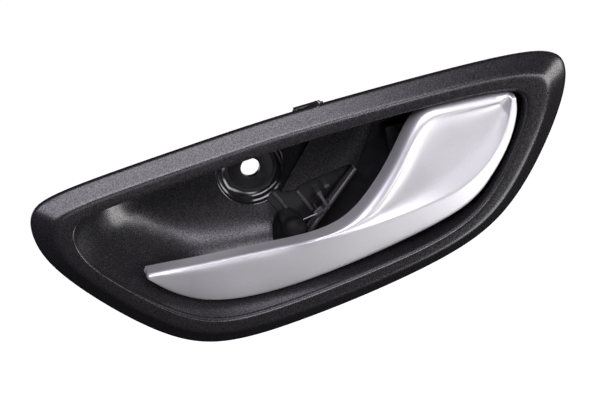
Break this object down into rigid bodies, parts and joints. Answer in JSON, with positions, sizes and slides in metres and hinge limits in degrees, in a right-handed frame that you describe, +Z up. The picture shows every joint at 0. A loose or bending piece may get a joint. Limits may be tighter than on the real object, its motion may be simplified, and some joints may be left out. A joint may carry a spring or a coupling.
{
  "type": "car interior door handle",
  "caption": "Inner door release handle: moulded black trim bezel with finger scoop and screw pocket, sprung satin pull lever on an upright pin, carrier and cable seat behind.",
  "frame": {"origin": "on the axis of the fixing screw's hole, at the face its head seats on", "axes": "+X along the handle from the lever's tip to its pivot, +Y into the door, away from the hand, +Z up along the pivot pin"},
  "size_m": [0.2002, 0.0413, 0.0795],
  "materials": {
    "bezel_black": "fine grained, moulded black",
    "carrier_black": "smooth moulded black",
    "lever_paint": "satin silver paint on moulded plastic",
    "core_black": "moulded black",
    "pin_steel": "ground",
    "spring_steel": "drawn wire, oiled",
    "screw_steel": "zinc plated",
    "clip_steel": "phosphated sheet",
    "bush_plastic": "natural acetal",
    "buffer_rubber": "soft, matt"
  },
  "bodies": {
    "housing": {"bezel": "bezel_black", "carrier": "carrier_black", "pivot_pin": "pin_steel", "pin_retainer": "spring_steel", "return_spring": "spring_steel", "rest_buffer": "buffer_rubber", "open_buffer": "buffer_rubber", "carrier_screw_1": "screw_steel", "carrier_screw_2": "screw_steel", "carrier_screw_3": "screw_steel", "panel_clip_1": "clip_steel", "panel_clip_2": "clip_steel", "panel_clip_3": "clip_steel", "panel_clip_4": "clip_steel"},
    "lever": {"lever_shell": "lever_paint", "lever_core": "core_black", "bush_upper": "bush_plastic", "bush_lower": "bush_plastic", "cable_end_bush": "bush_plastic", "lever_screw_1": "screw_steel", "lever_screw_2": "screw_steel"}
  },
  "joints": [
    {"name": "lever_pivot", "type": "hinge", "parent": "housing", "child": "lever", "pos_m": [0.06944, -0.0145, -0.0095], "axis": [0, 0, 1], "range_deg": [0, 32], "stiffness_Nm_per_rad": 0.25, "springref_deg": -34.38, "deforming": ["return_spring"]}
  ]
}
